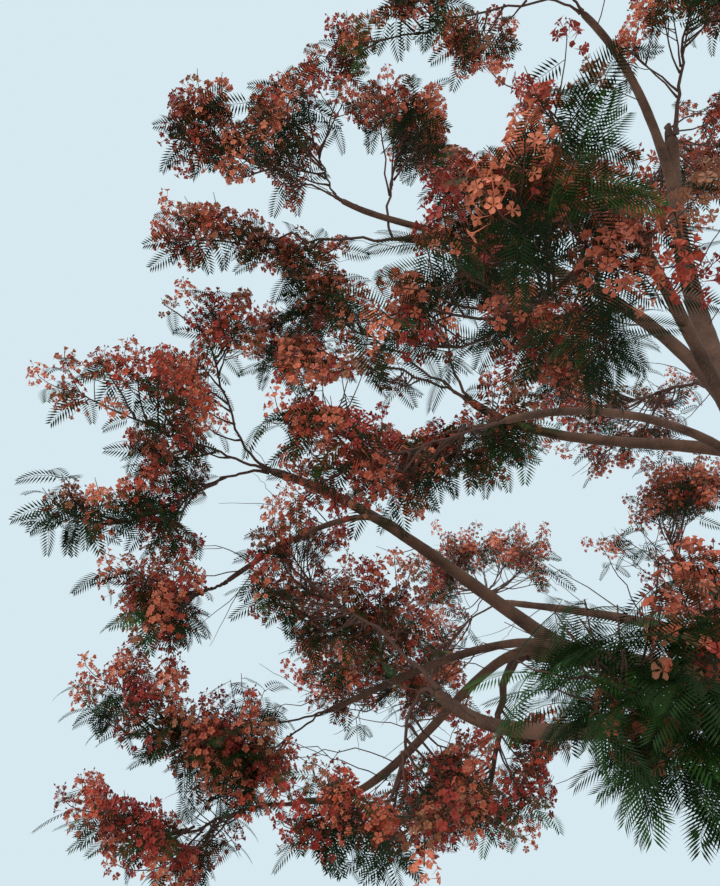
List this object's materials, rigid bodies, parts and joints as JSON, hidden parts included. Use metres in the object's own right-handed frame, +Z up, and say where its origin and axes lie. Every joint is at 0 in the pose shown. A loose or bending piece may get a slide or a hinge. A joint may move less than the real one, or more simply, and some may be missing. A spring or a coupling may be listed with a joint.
{
  "type": "flame tree",
  "caption": "Spreading tree in full red bloom: leaning trunk with a flared foot, forking boughs and open masses of blossom and feathery leaves.",
  "frame": {"origin": "middle of the flat cut under the trunk, at ground level", "axes": "+Z up; the crown's long visible side hangs out towards -X"},
  "size_m": [15.7033, 14.6492, 11.6331],
  "materials": {
    "bark": "rough brown bark with fine cracks and raised pores",
    "blossom": "matt brick red and salmon petals among dark green feather leaves",
    "leaves": "dark green feather leaves with a soft sheen"
  },
  "bodies": {
    "root": {"trunk": "bark", "leader": "bark", "left_fork": "bark", "low_left": "bark", "near_low": "bark", "back": "bark", "right": "bark", "front": "bark", "high_arm": "bark", "mid_left": "bark", "inner_left": "bark", "upper_left": "bark", "near_high": "bark", "back_high": "bark", "right_high": "bark", "left": "bark", "left_low": "bark", "left_sag": "bark", "left_fall": "bark", "upper_rise": "bark", "back_left": "bark", "back_right": "bark", "front_right": "bark", "top_left": "blossom", "top_mid": "blossom", "top_right": "blossom", "upper_tip": "blossom", "upper_crest": "blossom", "upper_back": "blossom", "upper_finger": "blossom", "mid_hang": "blossom", "mid_tip": "blossom", "mid_crest": "blossom", "inner_bloom": "blossom", "inner_under": "blossom", "left_tip": "blossom", "left_crest": "blossom", "left_skirt": "leaves", "fall_tip": "blossom", "low_tip": "blossom", "low_skirt": "blossom", "sag_tip": "blossom", "under_left": "blossom", "under_mid": "blossom", "near_crest": "blossom", "near_leaves": "leaves", "near_skirt": "leaves", "crown_back": "blossom", "crown_back_right": "blossom", "crown_front_right": "blossom", "back_tip": "blossom", "back_crest": "blossom", "back_left_tip": "blossom", "back_left_skirt": "blossom", "right_tip": "blossom", "back_right_tip": "blossom", "crown_mid": "blossom", "front_tip": "blossom", "front_right_tip": "blossom", "fork_bloom": "blossom"}
  },
  "joints": []
}
